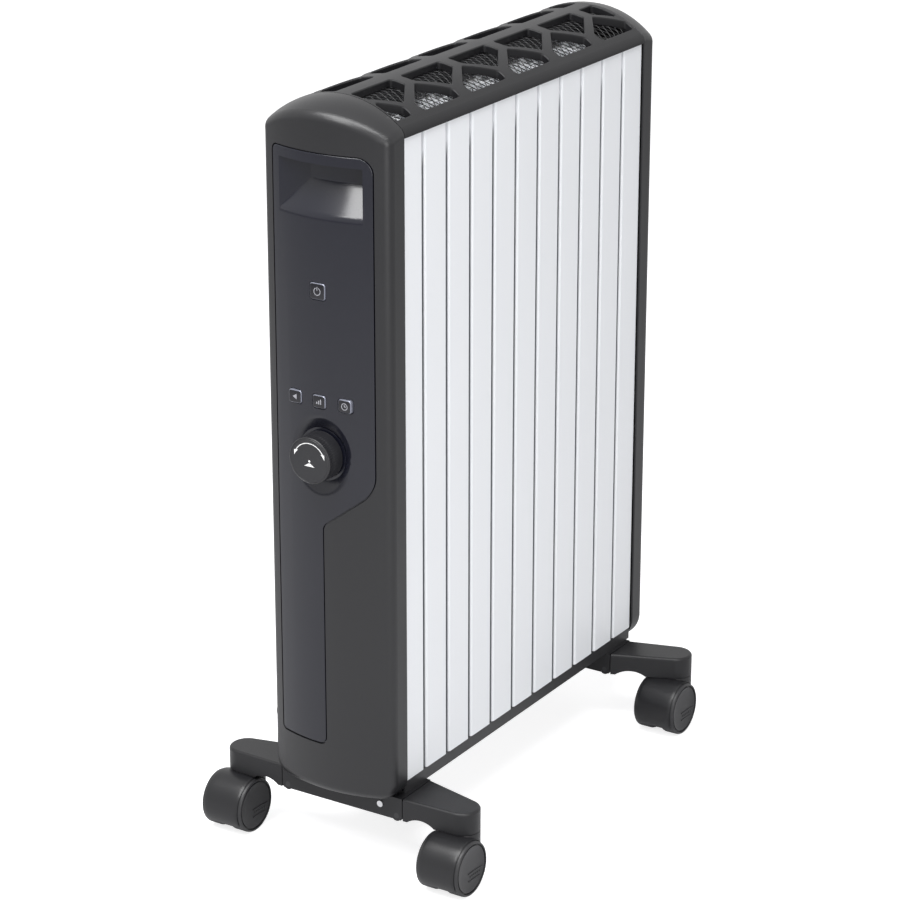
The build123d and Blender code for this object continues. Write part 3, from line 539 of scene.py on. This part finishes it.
powder_coat("mesh_coat", rgb(34, 34, 36), 0.4).paint(guard)
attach(guard, "heater")
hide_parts("top_mesh")


# Top grille: one arched charcoal moulding with two staggered rows of five-sided openings on each side.
# A dark channel, black powder coated, lies under its spine, clear of the modules; it is painted shade, a
# dark piece that darkens the view down through the inner openings.
moulded("grille_charcoal", rgb(24, 24, 26), 0.42, 0.3).paint(nodes["top_grille"])
channel_half = 5.0 * mm
channel_wall = 0.8 * mm
channel_mesh_gap = 1.2 * mm
channel_lift = 3.4 * mm
channel_top = roof_axis + sqrt(sheet_radius**2 - channel_half**2) - channel_mesh_gap
channel_foot = slat_corner.z + channel_lift
channel_hollow = channel_half - channel_wall
channel_ceiling = channel_top - channel_wall
channel_outline = [
    (-channel_half, channel_foot), (-channel_half, channel_top), (channel_half, channel_top),
    (channel_half, channel_foot), (channel_hollow, channel_foot), (channel_hollow, channel_ceiling),
    (-channel_hollow, channel_ceiling), (-channel_hollow, channel_foot)]
# Painted shade: a dark piece that hides the white modules from view through the inner openings.
shade_channel = joined("spine_shade_channel", [stacked(
    [[(across, along, up) for across, up in channel_outline] for along in (mesh_low.y, mesh_high.y)])])
black_powder_coat.paint(shade_channel)
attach(shade_channel, "heater")


# End housings: two moulded charcoal shells with a fine satin texture, screwed to the end plates.
# The rubber gland for the cord sits in the front one.
moulded("housing_charcoal", rgb(27, 27, 29), 0.36).paint(nodes["front_housing"], nodes["rear_housing"])
moulded("gland_rubber", rgb(30, 30, 31), 0.65).paint(nodes["cord_gland"])


# Control panel: a polished charcoal moulding clipped into the front housing, with the hand grip
# and the dish of the knob in one piece.
def polished(name, colour, roughness):
    # Polished plastic: nearly a mirror, with faint wiping haze
    finish = Finish(name, IOR=1.5)
    haze = finish.noise(size=0.05, detail=4.0)
    finish.use(
        Base_Color=finish.blend(haze, shaded(colour, 0.85), colour),
        Roughness=roughness + 0.06 * haze)
    return finish


polished("panel_gloss", rgb(20, 21, 31), 0.16).paint(nodes["front_panel"])


# Keys: four moulded caps with rounded edges that slide in the panel, each on its own switch.
# Polished charcoal with a bright metallised edge and a printed grey sign.
print_soft = 0.12 * mm
sign_line = 0.32 * mm
key_flange = 1.2 * mm
key_corner = 2.5
key_least_corner = 0.6
corner_steps = 10
# How far each ring of the cap is set in from its side and back from its face, in millimetres
key_edge = [(1.1, 0.0), (0.85, 0.05), (0.5, 0.3), (0.2, 0.7), (0.0, 1.2), (0.0, 4.6)]
bright_edge_start = 0.1 * mm
bright_edge_soft = 0.06 * mm


def bar(along, half_length, across, half_width):
    # Share of a printed bar, from how far a place is from its middle each way
    return abs(along).below(half_length, print_soft) & abs(across).below(half_width, print_soft)


def ring_line(x, z, radius):
    return abs((x**2.0 + z**2.0) ** 0.5 - radius).below(sign_line, print_soft)


def power_sign(x, z):
    # A ring, open at the top, with an upright bar in the opening
    opening = abs(x).below(1.2 * mm, print_soft) & z.above(0.0, print_soft)
    return (ring_line(x, z, 3.0 * mm) & (1 - opening)) | bar(z - 2.2 * mm, 1.6 * mm, x, sign_line)


def mode_sign(x, z):
    # An arrow head that points left
    return (abs(z) * 1.6 - x).below(2.2 * mm, print_soft) & x.below(1.6 * mm, print_soft)


def level_sign(x, z):
    # Three bars that rise from left to right
    share = 0.0
    for place, half_height in ((-1.9 * mm, 0.9 * mm), (0.0, 1.5 * mm), (1.9 * mm, 2.1 * mm)):
        share = bar(z + 2.0 * mm - half_height, half_height, x - place, 0.5 * mm) | share
    return share


def timer_sign(x, z):
    # A clock face with two hands
    hand_half = 0.35 * mm
    upright_hand = bar(z - 0.8 * mm, 0.9 * mm, x, hand_half)
    level_hand = bar(x - 0.7 * mm, 0.8 * mm, z, hand_half)
    return ring_line(x, z, 2.7 * mm) | upright_hand | level_hand


def key_ring(half_width, half_height, inset, depth):
    # One level of a cap: a rectangle with round corners
    half_width -= inset * mm
    half_height -= inset * mm
    radius = max(key_corner - inset, key_least_corner) * mm
    ring = []
    for right, up, start in ((1, 1, 0), (-1, 1, 90), (-1, -1, 180), (1, -1, 270)):
        for k in range(corner_steps + 1):
            angle = radians(start + 90 * k / corner_steps)
            ring.append((right * (half_width - radius) + radius * cos(angle), depth * mm,
                         up * (half_height - radius) + radius * sin(angle)))
    return ring


for key, sign in (("power", power_sign), ("mode", mode_sign), ("level", level_sign), ("timer", timer_sign)):
    low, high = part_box(f"{key}_button")
    half_width = (high.x - low.x) / 2 - key_flange
    half_height = (high.z - low.z) / 2 - key_flange
    cap = joined(f"{key}_key_cap", [stacked(
        [key_ring(half_width, half_height, inset, depth) for inset, depth in key_edge])])
    cap.location = ((low.x + high.x) / 2, low.y, (low.z + high.z) / 2)
    key_finish = polished(f"{key}_key_finish", rgb(30, 30, 34), 0.14)
    x, y, z = key_finish.axes()
    bright_edge = y.above(bright_edge_start, bright_edge_soft)
    face_colour = key_finish.blend(sign(x, z), rgb(20, 20, 25), rgb(150, 150, 156))
    key_finish.use(
        Base_Color=key_finish.blend(bright_edge, face_colour, rgb(124, 126, 138)),
        Metallic=0.5 * bright_edge)
    key_finish.paint(cap)
    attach(cap, f"{key}_key")
    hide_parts(f"{key}_button")


# Knob: a moulded charcoal cap pushed onto the encoder's shaft, with a finely fluted side.
# Its face carries a printed arc with two arrow heads, and a sign for pressing it.
knob_low, knob_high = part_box("control_knob")
flutes = 60
flute_depth = 0.28
knob_steps = flutes * 6
# Radius and depth from the face in millimetres, and the share of the flutes' depth there
knob_outline = [
    (15.6, 0.0, 0.0), (18.0, 0.0, 0.0), (18.25, 0.22, 0.0), (18.5, 0.22, 0.0), (18.7, 0.02, 0.0),
    (19.2, 0.1, 0.0), (19.55, 0.4, 0.0), (19.75, 0.9, 0.0), (19.8, 1.3, 0.3), (19.85, 1.7, 1.0),
    (19.95, 6.5, 1.0), (20.0, 7.2, 0.4), (20.05, 7.8, 0.0), (20.3, (knob_high.y - knob_low.y) / mm, 0.0)]


def knob_ring(radius, depth, share):
    ring = []
    for k in range(knob_steps):
        angle = 2 * pi * k / knob_steps
        r = (radius - share * flute_depth * (0.5 + 0.5 * cos(flutes * angle))) * mm
        ring.append((r * cos(angle), depth * mm, r * sin(angle)))
    return ring


knob = joined("fluted_knob", [stacked([knob_ring(*level) for level in knob_outline])])
knob.location = ((knob_low.x + knob_high.x) / 2, knob_low.y, (knob_low.z + knob_high.z) / 2)

arc_radius = 14.9 * mm
arc_half = 0.36 * mm
arc_foot = 7.4 * mm
head_tip = 3.0 * mm
head_middle = 5.3 * mm
head_half_length = 2.3 * mm
head_half_width = 1.6 * mm
head_spread = 0.32
dot_drop = 0.3 * mm
dot_radius = 0.95 * mm
push_apex = -1.7 * mm
push_spread = 0.62
push_middle = -3.4 * mm
push_half_height = 1.4 * mm
face_depth = 0.12 * mm
face_soft = 0.05 * mm
knob_finish = moulded("knob_charcoal", rgb(31, 31, 34), 0.36)
x, y, z = knob_finish.axes()
off_arc = abs((x**2.0 + z**2.0) ** 0.5 - arc_radius)
arc = off_arc.below(arc_half, print_soft) & z.above(arc_foot, print_soft)
heads = bar(z - head_middle, head_half_length, off_arc, head_half_width)
heads = heads & (off_arc - (z - head_tip) * head_spread).below(0.0, print_soft)
dot = ((x**2.0 + (z + dot_drop) ** 2.0) ** 0.5).below(dot_radius, print_soft)
push = (abs(x) * push_spread + z).below(push_apex, print_soft)
push = push & abs(z - push_middle).below(push_half_height, print_soft)
on_face = y.below(face_depth, face_soft)
marks = (arc | heads | dot | push) & on_face
knob_finish.use(Base_Color=knob_finish.blend(marks, knob_finish.colour(), rgb(236, 236, 236)))
knob_finish.paint(knob)
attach(knob, "knob")
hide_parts("control_knob")
